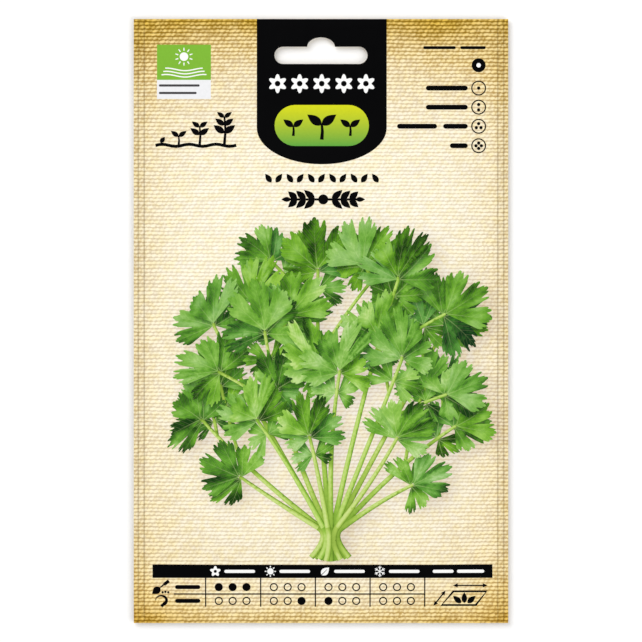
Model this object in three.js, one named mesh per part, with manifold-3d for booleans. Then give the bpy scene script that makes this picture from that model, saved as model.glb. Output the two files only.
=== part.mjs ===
// A paper seed packet lying on its back: two sealed panels with a hang slot, and the seeds between them.
// Millimetres, +Z up. The top edge of the packet is towards +Y, and the origin is on the resting plane,
// under the middle of the packet.
import * as THREE from 'three';
import { mergeVertices } from 'three/addons/utils/BufferGeometryUtils.js';
import Module from 'manifold-3d';

// Outline and paper
const WIDTH = 100;
const HEIGHT = 161.3;
const PAPER = 0.3;
const SEAL_GAP = 0.3; // between the two panels where they are sealed
const SIDE_SEAL = 3;
const FOOT_SEAL = 6;
const HEADER = 22; // flat sealed band that carries the hang slot

// How the packet swells between its seals
const RIM_LIFT = 1.2; // the sealed edges stand this far above the resting plane
const FRONT_RISE = 3.2; // the front panel over the seeds, above its own sealed edges
const FRONT_ROLL = 22; // how far the front panel takes to rise from a side seal
const BACK_ROLL = 16; // how far the back panel takes to sink to the resting plane
const HEAD_SPREAD = 1.4; // the slope below the header is this much longer than those at the sides
const SLACK_START = -2; // above this height the pouch holds no seeds and lies flatter
const SLACK_LENGTH = 60;
const SLACK_SHARE = 0.65; // of the full rise, where the pouch is slack
const COLUMNS = 20;
const ROWS = 32;

// Hang slot: a straight slot with round ends and a low dome over its middle
const SLOT_WIDTH = 24.9;
const SLOT_HEIGHT = 4.6;
const SLOT_BELOW_TOP = 9.7; // packet's top edge to the slot's centre line
const DOME_WIDTH = 7.4;
const DOME_HEIGHT = 2.5;
const SLOT_CUT_HALF = 10; // the cutting solid reaches this far above and below the panels

// Seeds: one layer, lying where they slid to the lower half of the pouch
const SEED_RADIUS = 2.3;
const SEED_FLATTEN = 0.85;
const SEED_PITCH = 3.7;
const SEED_JITTER = 0.12; // of the pitch
const BED_Y = -26;
const BED_HALF_WIDTH = 20;
const BED_HALF_LENGTH = 16.5;
const BED_CLEARANCE = 0.3; // between the seeds and the back panel
const RANDOM_SEED = 7;

const wasm = await Module();
wasm.setup();

function smooth(t) {
  const clamped = Math.min(1, Math.max(0, t));
  return clamped * clamped * (3 - 2 * clamped);
}

// 0 on the seals and the header, 1 where the pouch has its full depth
function fullness(x, y, roll) {
  const fromSide = WIDTH / 2 - SIDE_SEAL - Math.abs(x);
  const fromFoot = y + HEIGHT / 2 - FOOT_SEAL;
  const fromHeader = HEIGHT / 2 - HEADER - y;
  return smooth(fromSide / roll) * smooth(fromFoot / roll) * smooth(fromHeader / (roll * HEAD_SPREAD));
}

function frontMiddle(x, y) {
  const slack = 1 - (1 - SLACK_SHARE) * smooth((y - SLACK_START) / SLACK_LENGTH);
  return RIM_LIFT + PAPER * 1.5 + SEAL_GAP + FRONT_RISE * slack * fullness(x, y, FRONT_ROLL);
}

function backMiddle(x, y) {
  return PAPER / 2 + RIM_LIFT * (1 - fullness(x, y, BACK_ROLL));
}

function toManifold(geometry) {
  const bare = geometry.clone();
  bare.deleteAttribute('normal');
  bare.deleteAttribute('uv');
  const merged = mergeVertices(bare, 1e-4);
  return new wasm.Manifold(new wasm.Mesh({
    numProp: 3,
    vertProperties: new Float32Array(merged.attributes.position.array),
    triVerts: new Uint32Array(merged.index.array),
  }));
}

function toGeometry(solid) {
  const mesh = solid.getMesh();
  const geometry = new THREE.BufferGeometry();
  geometry.setAttribute('position', new THREE.BufferAttribute(new Float32Array(mesh.vertProperties), 3));
  geometry.setIndex(new THREE.BufferAttribute(new Uint32Array(mesh.triVerts), 1));
  geometry.computeVertexNormals();
  return geometry;
}

function slotSolid() {
  const end = SLOT_HEIGHT / 2;
  const straight = SLOT_WIDTH / 2 - end;
  const outline = new THREE.Shape();
  outline.moveTo(-straight, -end);
  outline.lineTo(straight, -end);
  outline.absarc(straight, 0, end, -Math.PI / 2, Math.PI / 2, false);
  outline.lineTo(DOME_WIDTH / 2, end);
  outline.absellipse(0, end, DOME_WIDTH / 2, DOME_HEIGHT, 0, Math.PI, false, 0);
  outline.lineTo(-straight, end);
  outline.absarc(-straight, 0, end, Math.PI / 2, Math.PI * 1.5, false);
  const cutter = new THREE.ExtrudeGeometry(outline, {
    depth: 2 * SLOT_CUT_HALF,
    bevelEnabled: false,
    curveSegments: 8,
  });
  cutter.translate(0, HEIGHT / 2 - SLOT_BELOW_TOP, -SLOT_CUT_HALF);
  return toManifold(cutter);
}

function panelGeometry(middle) {
  const sheet = new THREE.BoxGeometry(WIDTH, HEIGHT, PAPER, COLUMNS, ROWS, 1);
  const position = sheet.attributes.position;
  for (let i = 0; i < position.count; i += 1) {
    position.setZ(i, position.getZ(i) + middle(position.getX(i), position.getY(i)));
  }
  return toGeometry(toManifold(sheet).subtract(slotSolid()));
}

// A repeatable random number from 0 to 1
function makeRandom(start) {
  let state = start;
  return () => {
    state = (state * 1664525 + 1013904223) % 4294967296;
    return state / 4294967296;
  };
}

function seedSolid(x, y, random) {
  const seed = new THREE.IcosahedronGeometry(SEED_RADIUS, 0);
  seed.rotateX(random() * Math.PI);
  seed.rotateY(random() * Math.PI);
  seed.scale(1, 1, SEED_FLATTEN);
  seed.translate(x, y, PAPER + BED_CLEARANCE + SEED_RADIUS * SEED_FLATTEN);
  return toManifold(seed);
}

function seedBedGeometry() {
  const random = makeRandom(RANDOM_SEED);
  const rowStep = SEED_PITCH * Math.sqrt(3) / 2;
  const rows = Math.floor(BED_HALF_LENGTH / rowStep);
  const columns = Math.ceil(BED_HALF_WIDTH / SEED_PITCH);
  let bed = null;
  for (let row = -rows; row <= rows; row += 1) {
    for (let column = -columns; column <= columns; column += 1) {
      const x = (column + (row % 2 === 0 ? 0 : 0.5)) * SEED_PITCH;
      const y = row * rowStep;
      if (Math.hypot(x / BED_HALF_WIDTH, y / BED_HALF_LENGTH) > 1) continue;
      const shiftX = (random() - 0.5) * SEED_JITTER * SEED_PITCH;
      const shiftY = (random() - 0.5) * SEED_JITTER * SEED_PITCH;
      const seed = seedSolid(x + shiftX, BED_Y + y + shiftY, random);
      bed = bed === null ? seed : bed.add(seed);
    }
  }
  return toGeometry(bed);
}

const printedPaper = new THREE.MeshStandardMaterial({ color: 0xf0e4c4, roughness: 0.5, metalness: 0 });
const seedHusk = new THREE.MeshStandardMaterial({ color: 0xb08a50, roughness: 0.8, metalness: 0 });

function addMesh(group, name, geometry, material) {
  const mesh = new THREE.Mesh(geometry, material);
  mesh.name = name;
  group.add(mesh);
}

const packet = new THREE.Group();
addMesh(packet, 'front_panel', panelGeometry(frontMiddle), printedPaper);
addMesh(packet, 'back_panel', panelGeometry(backMiddle), printedPaper);
addMesh(packet, 'coriander_seeds', seedBedGeometry(), seedHusk);

export default packet;
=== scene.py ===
# A flat paper seed packet lying on its back: a printed front panel and a back panel, sealed to each other
# along their edges, with a hang slot through both and coriander seeds between them. The print is part of
# each panel's own surface: the sheet is cut along the outline of everything printed on it.
import math
import random
from functools import cached_property

import bpy
import numpy as np
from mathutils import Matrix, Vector
from mathutils.geometry import delaunay_2d_cdt


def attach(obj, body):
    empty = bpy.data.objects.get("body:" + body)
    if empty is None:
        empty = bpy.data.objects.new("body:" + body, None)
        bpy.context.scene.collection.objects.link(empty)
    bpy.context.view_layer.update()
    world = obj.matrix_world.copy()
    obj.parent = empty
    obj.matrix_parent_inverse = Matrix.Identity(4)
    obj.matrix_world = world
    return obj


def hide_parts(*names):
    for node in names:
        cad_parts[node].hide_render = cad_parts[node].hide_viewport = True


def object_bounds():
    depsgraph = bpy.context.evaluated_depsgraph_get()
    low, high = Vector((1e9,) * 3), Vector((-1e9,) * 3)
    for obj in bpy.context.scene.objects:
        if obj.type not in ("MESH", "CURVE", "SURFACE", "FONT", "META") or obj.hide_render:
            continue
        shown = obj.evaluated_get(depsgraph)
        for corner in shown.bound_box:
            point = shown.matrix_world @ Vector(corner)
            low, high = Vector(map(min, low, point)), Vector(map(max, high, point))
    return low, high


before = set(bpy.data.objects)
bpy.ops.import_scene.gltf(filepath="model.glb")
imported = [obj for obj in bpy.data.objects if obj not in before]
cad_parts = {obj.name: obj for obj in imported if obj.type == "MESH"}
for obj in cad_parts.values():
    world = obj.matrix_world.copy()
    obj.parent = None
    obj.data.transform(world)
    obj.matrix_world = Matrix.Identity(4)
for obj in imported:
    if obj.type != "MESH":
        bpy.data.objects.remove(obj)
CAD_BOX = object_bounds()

# Lengths are in millimetres up to the point where a mesh is made
MM = 0.001
WIDTH = (CAD_BOX[1].x - CAD_BOX[0].x) / MM
HEIGHT = (CAD_BOX[1].y - CAD_BOX[0].y) / MM
TOP = HEIGHT / 2
SIDE = WIDTH / 2

# Paper and swell, as on the frame's solids
PAPER = 0.3
SEAL_GAP = 0.3
SIDE_SEAL = 3.0
FOOT_SEAL = 6.0
HEADER = 22.0
RIM_LIFT = 1.2
FRONT_RISE = 3.2
FRONT_ROLL = 22.0
BACK_ROLL = 16.0
HEAD_SPREAD = 1.4
SLACK_START = -2.0
SLACK_LENGTH = 60.0
SLACK_SHARE = 0.65

# Hang slot
SLOT_WIDTH = 24.9
SLOT_HEIGHT = 4.6
SLOT_BELOW_TOP = 9.7
DOME_WIDTH = 7.4
DOME_HEIGHT = 2.5

# Seeds
SEED_RADIUS = 1.95
SEED_HALF_HEIGHT = 1.9
SEED_PITCH = 3.8
SEED_SHAKE = 0.2
SEED_RIBS = 10
SEED_SIDES = 2 * SEED_RIBS
SEED_RINGS = 9
RIB_DEPTH = 0.09
SEED_TIP = 0.12
SEED_TIP_POWER = 12  # the higher, the sharper the tips
SEED_SIZE = (0.86, 0.94)
BED_Y = -26.0
BED_HALF_WIDTH = 20.5
BED_HALF_LENGTH = 17.0
BED_CLEARANCE = 0.3

# Glue and relief, too fine for the solids
SEAL_FILL = 0.13  # what the glue adds to the inner side of each sheet where they are sealed
SEAL_FILL_REACH = 2.0  # over which it runs out inside the pouch
SEAL_LINES = (1.2, 2.8)  # pressed lines along each side, measured in from the edge
SEAL_LINE_DEPTH = 0.07
SEAL_LINE_WIDTH = 0.16
SEED_BUMP = 0.1
SEED_BUMP_WIDTH = 1.2
SEED_BUMP_ROOM = 0.12
PUCKERS_A_SIDE = 6
PUCKER_FOOT = -62.0
PUCKER_SPAN = 104.0
PUCKER_SPOT = (0.2, 0.8)  # where it may lie in its own share of the span
PUCKER_HEIGHT = 0.2
PUCKER_SHARE = (0.4, 1.0)  # of that height
PUCKER_LENGTH = (9, 17)
PUCKER_SLANT = (-0.35, 0.35)
PUCKER_WIDTH = 2.2

# Meshes: how far apart their points lie
GROUND_STEP = 1.1
LEAF_STEP = 0.6
BACK_STEP = 1.5
INNER_STEP = 2.6
EDGE_STEP = 2.0
OUTLINE_STEP = 3.0
SEAL_STEP = 1.2
SEAL_ROWS = ((-0.3, 0.0), (-0.14, 0.5), (0.0, 0.0), (0.14, 0.5), (0.3, 0.0))  # off the line, and the stagger
SEAL_END = 0.4  # the points along a pressed line stop this far below the top edge
MERGE_PLACES = 3  # decimal places of a millimetre
TOUCH = 1e-5  # outlines that come this near to each other touch
PLACE_SCALE = 20.0  # millimetres to one unit of the map that holds each leaf's own coordinates


def srgb(red, green, blue):
    """A colour given in 0 to 255 as it looks on screen, as linear numbers."""
    shares = (value / 255 for value in (red, green, blue))
    return tuple(share / 12.92 if share <= 0.04045 else ((share + 0.055) / 1.055) ** 2.4 for share in shares)


# Ink colours
BLACK = srgb(2, 2, 3)
WHITE = srgb(250, 250, 248)
LABEL_GREEN = srgb(128, 184, 58)
LABEL_WHITE = srgb(238, 238, 240)
LIME = srgb(216, 218, 30)
EMBLEM_GREEN = srgb(96, 166, 66)
INK_GREY = srgb(70, 68, 70)


# Shape of the paper
def smooth(t):
    clamped = np.clip(t, 0.0, 1.0)
    return clamped * clamped * (3 - 2 * clamped)


def inward_of_seals(x, y):
    """How far a point lies inside the side seals, the foot seal and the header."""
    return SIDE - SIDE_SEAL - np.abs(x), y + TOP - FOOT_SEAL, TOP - HEADER - y


def fullness(x, y, roll):
    """0 on the seals and the header, 1 where the pouch has its full depth."""
    from_side, from_foot, from_header = inward_of_seals(x, y)
    return smooth(from_side / roll) * smooth(from_foot / roll) * smooth(from_header / (roll * HEAD_SPREAD))


def sealed(x, y):
    """1 where the two sheets are glued to each other, 0 inside the pouch."""
    return 1 - smooth(np.minimum.reduce(inward_of_seals(x, y)) / SEAL_FILL_REACH)


def seed_places():
    """Where the seeds lie, row by row, in the lower half of the pouch."""
    chance = random.Random(7)
    row_step = SEED_PITCH * math.sqrt(3) / 2
    rows = math.floor(BED_HALF_LENGTH / row_step)
    columns = math.ceil(BED_HALF_WIDTH / SEED_PITCH)
    places = []
    for row in range(-rows, rows + 1):
        for column in range(-columns, columns + 1):
            x = (column + (0.5 if row % 2 else 0.0)) * SEED_PITCH
            y = row * row_step
            if math.hypot(x / BED_HALF_WIDTH, y / BED_HALF_LENGTH) <= 1:
                shake_x = chance.uniform(-SEED_SHAKE, SEED_SHAKE)
                shake_y = chance.uniform(-SEED_SHAKE, SEED_SHAKE)
                places.append((x + shake_x, BED_Y + y + shake_y))
    return places


SEED_PLACES = seed_places()


def seed_bumps(x, y):
    """The seeds as they show faintly through the front panel."""
    bumps = np.zeros_like(x)
    for seed_x, seed_y in SEED_PLACES:
        off = (x - seed_x) ** 2 + (y - seed_y) ** 2
        bumps += np.exp(-off / (2 * SEED_BUMP_WIDTH ** 2))
    return SEED_BUMP * bumps


def seal_lines(x):
    """The pressed lines beside the side seals, 1 at the bottom of a line."""
    inward = SIDE - np.abs(x)
    return sum(np.exp(-((inward - line) / SEAL_LINE_WIDTH) ** 2) for line in SEAL_LINES)


def pucker_list():
    """Soft ridges that run in from the side seals: (side, y, length, slant, height)."""
    chance = random.Random(12)
    puckers = []
    for side in (-1, 1):
        for place in range(PUCKERS_A_SIDE):
            y = PUCKER_FOOT + PUCKER_SPAN * (place + chance.uniform(*PUCKER_SPOT)) / PUCKERS_A_SIDE
            height = PUCKER_HEIGHT * chance.uniform(*PUCKER_SHARE) * chance.choice((-1, 1))
            length, slant = chance.uniform(*PUCKER_LENGTH), chance.uniform(*PUCKER_SLANT)
            puckers.append((side, y, length, slant, height))
    return puckers


PUCKERS = pucker_list()


def pucker_relief(x, y):
    relief = np.zeros_like(x)
    for side, start_y, length, slant, height in PUCKERS:
        inward = SIDE - SIDE_SEAL - side * x
        along = np.clip(inward / length, 0, 1)
        across = (y - start_y - slant * inward) / PUCKER_WIDTH
        relief += height * np.sin(math.pi * along) ** 2 * np.exp(-across ** 2)
    return relief


def front_upper(x, y):
    slack = 1 - (1 - SLACK_SHARE) * smooth((y - SLACK_START) / SLACK_LENGTH)
    rise = (FRONT_RISE - SEED_BUMP_ROOM) * slack * fullness(x, y, FRONT_ROLL)
    swell = RIM_LIFT + PAPER * 2 + SEAL_GAP + rise
    return swell + pucker_relief(x, y) + seed_bumps(x, y) - SEAL_LINE_DEPTH * seal_lines(x)


def front_lower(x, y):
    return front_upper(x, y) - PAPER - SEAL_FILL * sealed(x, y)


def back_lower(x, y):
    return RIM_LIFT * (1 - fullness(x, y, BACK_ROLL)) + SEAL_LINE_DEPTH * seal_lines(x)


def back_upper(x, y):
    return back_lower(x, y) + PAPER + SEAL_FILL * sealed(x, y)


# Outlines, each an array of points
def arc(x, y, reach_x, reach_y, turn):
    """Points on an oval round (x, y), one at each angle of turn."""
    return np.column_stack((x + reach_x * np.cos(turn), y + reach_y * np.sin(turn)))


def circle(x, y, radius, sides=24):
    return arc(x, y, radius, radius, np.arange(sides) * 2 * math.pi / sides)


def rectangle(x0, y0, x1, y1):
    return np.array([(x0, y0), (x1, y0), (x1, y1), (x0, y1)], float)


def bar(x0, x1, y, thickness, sides=6):
    """A level stroke with round ends."""
    radius = thickness / 2
    turn = np.linspace(-math.pi / 2, math.pi / 2, sides + 1)
    right = arc(x1 - radius, y, radius, radius, turn)
    return np.vstack((right, arc(x0 + radius, y, -radius, -radius, turn)))


def turned(outline, angle, x=0.0, y=0.0):
    """The outline turned anticlockwise about the origin and then moved."""
    cos, sin = math.cos(angle), math.sin(angle)
    return outline @ np.array(((cos, sin), (-sin, cos))) + (x, y)


BLADE_POWER = 0.8  # below 1, a blade is widest nearer its foot


def blade(length, width, sides=10):
    """A pointed oval that stands on the origin."""
    share = np.linspace(0, 1, sides + 1)
    half = width / 2 * np.sin(math.pi * share ** BLADE_POWER)
    right = np.column_stack((half, share * length))
    left = np.column_stack((-half, share * length))[::-1]
    return np.vstack((right, left[1:-1]))


def rosette(x, y, radius, petals, depth):
    """A flower whose petals are cut in by that depth."""
    turn = np.arange(petals * 10) * 2 * math.pi / (petals * 10)
    reach = radius * (1 - depth * (0.5 - 0.5 * np.cos(petals * turn)))
    return np.column_stack((x + reach * np.sin(turn), y + reach * np.cos(turn)))


def ribbon(path, widths):
    """A stroke along the path, with its own width at each point."""
    ahead = np.gradient(path, axis=0)
    ahead /= np.linalg.norm(ahead, axis=1, keepdims=True)
    across = np.column_stack((ahead[:, 1], -ahead[:, 0])) * (widths / 2)[:, None]
    return np.vstack((path + across, (path - across)[::-1]))


def stroke(start, end, start_width, end_width):
    """A straight stroke that may taper."""
    return ribbon(np.array((start, end), float), np.array((start_width, end_width)))


def rays(x, y, count, ray):
    """Copies of a ray all round (x, y), the first one upright."""
    return [turned(ray, number * 2 * math.pi / count, x, y) for number in range(count)]


def bars(spans, y, thickness):
    """Level strokes side by side, each given by where it starts and ends."""
    return [bar(*span, y, thickness) for span in spans]


def row(middle, step, count):
    """Evenly spaced places about a middle."""
    return [middle + step * (number - (count - 1) / 2) for number in range(count)]


def wavy_line(x, y, height, length, start, width):
    """A level line at those places of x, with waves of that height and length that begin at start."""
    wave = y + height * np.sin((x - start) * 2 * math.pi / length)
    return ribbon(np.column_stack((x, wave)), np.full(len(x), width))


def slot_outline():
    """The hang slot: a straight slot with round ends and a low dome over its middle."""
    end = SLOT_HEIGHT / 2
    straight = SLOT_WIDTH / 2 - end
    turn = np.linspace(-math.pi / 2, math.pi / 2, 13)
    right = arc(straight, 0, end, end, turn)
    dome = arc(0, end, DOME_WIDTH / 2, DOME_HEIGHT, np.linspace(0, math.pi, 15))
    left = arc(-straight, 0, -end, -end, turn)
    return np.vstack((right, dome, left)) + (0, TOP - SLOT_BELOW_TOP)


def inside(points, outline):
    """True for each point that lies in the outline."""
    hit = np.zeros(len(points), bool)
    near = np.flatnonzero(np.all((points >= outline.min(0)) & (points <= outline.max(0)), axis=1))
    x, y = points[near, 0], points[near, 1]
    crossed = np.zeros(len(near), bool)
    for (x0, y0), (x1, y1) in zip(outline, np.roll(outline, -1, axis=0)):
        if y0 != y1:
            crossed ^= ((y0 > y) != (y1 > y)) & (x < (x1 - x0) * (y - y0) / (y1 - y0) + x0)
    hit[near] = crossed
    return hit


class Printed:
    """One printed shape: its outline, the ink it wears, and what each corner of its faces carries."""

    def __init__(self, outline, ink, values=None, place=None):
        self.outline = outline
        self.ink = ink
        self.values = values
        self.place = place


def inked(colour, *outlines):
    """Flat shapes in one ink."""
    def values(xy):
        return np.tile(colour, (len(xy), 1))

    return [Printed(outline, "solid", values) for outline in outlines]


def graded(outline, low_colour, high_colour):
    """A flat shape whose colour runs from its lowest point to its highest."""
    low, high = outline[:, 1].min(), outline[:, 1].max()

    def values(xy):
        share = np.clip((xy[:, 1:2] - low) / (high - low), 0, 1)
        return np.array(low_colour) * (1 - share) + np.array(high_colour) * share

    return Printed(outline, "solid", values)


# The herb picture: a loose bunch of leafy shoots that fan out from where their stems meet
BUNCH_X = 2.5
BUNCH_Y = -55.0
BUNCH_FOOT = 9.2  # how far the cut ends lie below
WAIST_SPREAD = 2.8
FOOT_SPREAD = 4.4
FULL_LEAN = 50.0  # the lean in degrees at which a stem lies at the full spread
SHOOT_SHAKE = (-2, 2)  # degrees added to a shoot's lean
REACH_ASIDE = 33.0  # no leaf grows from further out than this
LAYERS = 3
# From the back to the front: lean to the left in degrees, reach, leaf length, number of side sprigs
SHOOTS = (
    (4, 69, 13.8, 2),
    (27, 62, 13.8, 2),
    (-29, 62, 13.8, 2),
    (-13, 69, 14.3, 2),
    (47, 43, 13.0, 2),
    (-49, 41, 13.0, 2),
    (16, 55, 14.3, 2),
    (-21, 49, 13.8, 2),
    (58, 25, 12.0, 0),
    (33, 34, 13.0, 1),
    (-3, 42, 14.3, 1),
    (-58, 22, 11.5, 0),
    (-32, 29, 12.5, 0),
    (12, 25, 12.0, 0),
)

# Sprigs at the sides of a shoot, one below the other
SPRIG_AT = 0.83  # where the first one grows, as a share of the shoot's stem
SPRIG_STEP = 0.2
SPRIG_SHAKE = (-0.05, 0.05)
SPRIG_TURN = (32, 48)  # degrees
SPRIG_REACH = 0.75  # as a share of the stem above it
SPRIG_EXTRA = (4, 9)  # what is added to that reach
SPRIG_LEAF = (0.84, 0.98)  # as a share of the shoot's leaf

# Stems
STEM_WIDTH = 1.5
SIDE_STEM_WIDTH = 0.95
STEM_TIP_WIDTH = 0.85
END_STALK_WIDTH = 0.6
PAIR_STALK_WIDTH = 0.9
STEM_POINTS = 15
STEM_MIDDLE = 0.55  # how far along a stem its middle point lies
STEM_BEND = (-0.13, 0.13)  # by how many radians it lies off the stem's angle
END_STALK_BEND = 0.08  # where an end stalk bends, as a share of its leaf
FOOT_BEND = 4.0  # how far below the waist a stem turns towards its foot
STEM_LIT_SIDE = -0.3  # where across a stem it is lightest, from -1 to 1
STEM_ROUNDING = 1.7
STEM_TONE = (0.2, 0.8)  # 0 is green, 1 is pale

# Leaves: the pairs' spread in degrees and size, and lengths, as shares of the end leaflet's length
UPPER_PAIR = (62, 0.86)
LOWER_PAIR = (80, 0.56)
LOWER_PAIR_BELOW = 0.45
LOWER_PAIR_ODDS = 0.5  # how likely a leaf has one
COLLAR_BELOW = 0.07
PAIR_STALK = 0.025
PAIR_STALK_BEND = 0.8  # how far along a pair's stalk its middle point lies
PAIR_SHAKE = (-9, 9)  # degrees
PAIR_SIZE = (0.93, 1.07)
LEAF_LEAN = (-0.3, 0.3)  # by how many radians a leaf turns off its stem

# Leaflets: a fan of three lobes with three sublobes each
SIDE_LOBE = 2 / 3  # where a side lobe's middle line lies, as a share of the leaflet's half angle
PLAIN_HALF = math.radians(60)  # the half angle that the veins are drawn for
LOBE_STEP = SIDE_LOBE * PLAIN_HALF
LOBE_ROUNDING = 0.55
LOBE_CUT = ((-0.04, 0.04), (0.38, 0.58), 0.055)  # shift, depth and width
SUBLOBES = 9
SUBLOBE_CUT = ((-0.02, 0.02), (0.08, 0.2), 0.035)
CROWN_POWER = 1.7
TEETH = 21
TOOTH_POWER = 0.55
FOLD_ROUNDING = 0.15
PLEAT_START = 7.0
WAVE_HEIGHT = 0.42
WAVE_RATES = (0.62, 0.55)  # across and along the leaflet
SLOPE_STEP = 0.15  # over which a leaflet's slope is measured
LIGHT = Vector((-0.45, 0.5, 0.74)).normalized()
GLINT = (LIGHT + Vector((0, 0, 1))).normalized()  # half way between the light and the viewer
GLINT_POWER = 40
DARK_LIGHT = 0.25  # a leaflet that faces the light less than this is at its darkest
BACK_LAYER_LIGHT = 0.75
LAYER_LIGHT = 0.1  # what each layer further to the front adds


def fan_place(local):
    """Distance from the leaflet's base, and the angle from its middle line."""
    return np.hypot(local[:, 0], local[:, 1]), np.arctan2(local[:, 0], local[:, 1])


def fan_points(reach, angle):
    return np.column_stack((np.sin(angle) * reach, np.cos(angle) * reach))


def turning(angle):
    cos, sin = math.cos(angle), math.sin(angle)
    return np.array(((cos, -sin), (sin, cos)))


def lobe_at(across):
    """-1, 0 or 1 for the lobe that lies at that share of the half angle."""
    return np.clip(np.round(across / SIDE_LOBE), -1, 1)


class Leaflet:
    """A toothed, three-lobed leaflet shaped like a fan, on its own folded surface, seen from above."""

    INK = "leaf"
    SHADE = 0.85  # how dark it gets under other pieces

    def __init__(self, base, angle, length, chance, depth):
        self.base = np.array(base)
        self.length = length
        self.depth = depth
        self.half = math.radians(chance.uniform(50, 68))
        self.bend = chance.uniform(-0.016, 0.016)
        self.crown = chance.uniform(0.14, 0.24)
        self.cuts = self.incisions(chance)
        self.tooth = chance.uniform(0.055, 0.085)
        self.fold = chance.uniform(0.06, 0.24)
        self.pleat = chance.uniform(0.002, 0.008)
        self.droop = np.array([chance.uniform(-0.15, 0.4) for _ in range(3)])
        self.twist = np.array([chance.uniform(-0.5, 0.5) for _ in range(3)])
        self.tilt = np.array([chance.uniform(-0.3, 0.3) for _ in range(2)])
        self.wave = chance.uniform(0, 6.28)
        self.tone = min(1.0, max(0.0, chance.gauss(0.45, 0.25)))
        self.matrix = self.foreshortened(angle, chance)
        self.inverse = np.linalg.inv(self.matrix)

    def incisions(self, chance):
        """The cuts between lobes and sublobes: where across the leaflet, how deep and how wide."""
        gaps = [(side / 3, LOBE_CUT) for side in (-1, 1)]
        gaps += [(-1 + 2 * gap / SUBLOBES, SUBLOBE_CUT) for gap in range(1, SUBLOBES) if gap % 3]
        cuts = []
        for at, (shift, deep, width) in gaps:
            cuts.append((at + chance.uniform(*shift), chance.uniform(*deep), width))
        return cuts

    def foreshortened(self, angle, chance):
        """The turn to the leaflet's own direction, and the flattening of a leaflet that is seen tilted."""
        squeeze = chance.uniform(0.6, 1.0)
        aside = turning(chance.uniform(0, math.pi))
        return aside @ np.diag((squeeze, 1.0)) @ aside.T @ turning(angle)

    def reach(self, across):
        """The leaflet's length in each direction, from -1 at one side to 1 at the other."""
        in_lobe = across / SIDE_LOBE - lobe_at(across)
        length = (1 - self.crown * np.abs(across) ** CROWN_POWER) * (1 - LOBE_ROUNDING * in_lobe ** 2)
        for where, cut, width in self.cuts:
            length = length * (1 - cut * np.exp(-((across - where) / width) ** 2))
        tooth = np.abs(np.sin(math.pi * TEETH * (across + 1) / 2)) ** TOOTH_POWER
        return self.length * length * (1 - self.tooth * (1 - tooth))

    def outline(self):
        across = np.linspace(1, -1, 5 * TEETH + 1)
        return self.to_print(np.vstack(((0.0, 0.0), fan_points(self.reach(across), across * self.half))))

    def to_print(self, local):
        bent = local.copy()
        bent[:, 0] += self.bend * local[:, 1] ** 2
        return bent @ self.matrix.T + self.base

    def to_leaf(self, xy):
        local = (xy - self.base) @ self.inverse.T
        local[:, 0] -= self.bend * local[:, 1] ** 2
        return local

    def place(self, xy):
        """Leaf coordinates for a leaflet of the plain half angle, for the veins."""
        reach, angle = fan_place(self.to_leaf(xy))
        return fan_points(reach, angle * PLAIN_HALF / self.half) / PLACE_SCALE

    def surface(self, local, lobe):
        """How high the leaflet's surface stands over the page. The lobe is -1, 0 or 1."""
        reach, angle = fan_place(local)
        off_vein = reach * np.sin(angle - lobe * SIDE_LOBE * self.half)
        height = self.fold * np.sqrt(off_vein ** 2 + FOLD_ROUNDING)
        height -= self.droop[lobe + 1] * reach ** 2 / self.length
        height += self.twist[lobe + 1] * off_vein * reach / self.length
        pleats = np.cos(math.pi * SUBLOBES * (angle / self.half + 1)) * smooth(reach / PLEAT_START)
        height -= self.pleat * reach * pleats
        across, along = local.T * np.array(WAVE_RATES)[:, None]
        return height + WAVE_HEIGHT * np.sin(across + self.wave) * np.sin(along + 2 * self.wave)

    def light(self, xy):
        """How much light falls on the leaflet at each point, and how much it glints."""
        local = self.to_leaf(xy)
        lobe = lobe_at(fan_place(local)[1] / self.half).astype(int)
        slopes = []
        for shift in np.eye(2) * SLOPE_STEP:
            rise = self.surface(local + shift, lobe) - self.surface(local - shift, lobe)
            slopes.append(rise / (2 * SLOPE_STEP))
        slope = np.column_stack(slopes) @ self.inverse + self.tilt
        normal = np.column_stack((-slope, np.ones(len(xy))))
        normal /= np.linalg.norm(normal, axis=1, keepdims=True)
        lit = np.clip((normal @ np.array(LIGHT) - DARK_LIGHT) / (1 - DARK_LIGHT), 0, 1)
        glint = np.clip(normal @ np.array(GLINT), 0, 1) ** GLINT_POWER
        return lit * (BACK_LAYER_LIGHT + LAYER_LIGHT * self.depth), glint


class Stem:
    """A curved stem from start to end that leans towards its middle point."""

    INK = "stem"
    SHADE = 0.6
    place = None  # a stem has no veins

    def __init__(self, start, middle, end, foot_width, tip_width, tone):
        share = np.linspace(0, 1, STEM_POINTS)[:, None]
        curve = (1 - share) ** 2 * np.array(start) + 2 * share * (1 - share) * np.array(middle)
        self.path = curve + share ** 2 * np.array(end)
        self.widths = foot_width + (tip_width - foot_width) * share[:, 0]
        self.tone = tone

    def outline(self):
        return ribbon(self.path, self.widths)

    def at(self, share):
        """The point at that share of the stem's length."""
        return tuple(self.path[round(share * (STEM_POINTS - 1))])

    def across(self, xy):
        """Where a point lies across the stem, from -1 to 1."""
        best = np.full(len(xy), np.inf)
        side = np.zeros(len(xy))
        for start, step, width in zip(self.path, np.diff(self.path, axis=0), self.widths):
            share = np.clip((xy - start) @ step / (step @ step), 0, 1)
            off = xy - start - share[:, None] * step
            distance = np.linalg.norm(off, axis=1)
            signed = (off @ np.array((step[1], -step[0]))) / np.linalg.norm(step)
            side = np.where(distance < best, signed / (width / 2), side)
            best = np.minimum(best, distance)
        return np.clip(side, -1, 1)

    def light(self, xy):
        """How much light falls on the round stem at each point. It doesn't glint."""
        off_light = self.across(xy) - STEM_LIT_SIDE
        return np.sqrt(np.clip(1 - off_light ** 2 / STEM_ROUNDING, 0, 1)), np.zeros(len(xy))


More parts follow.
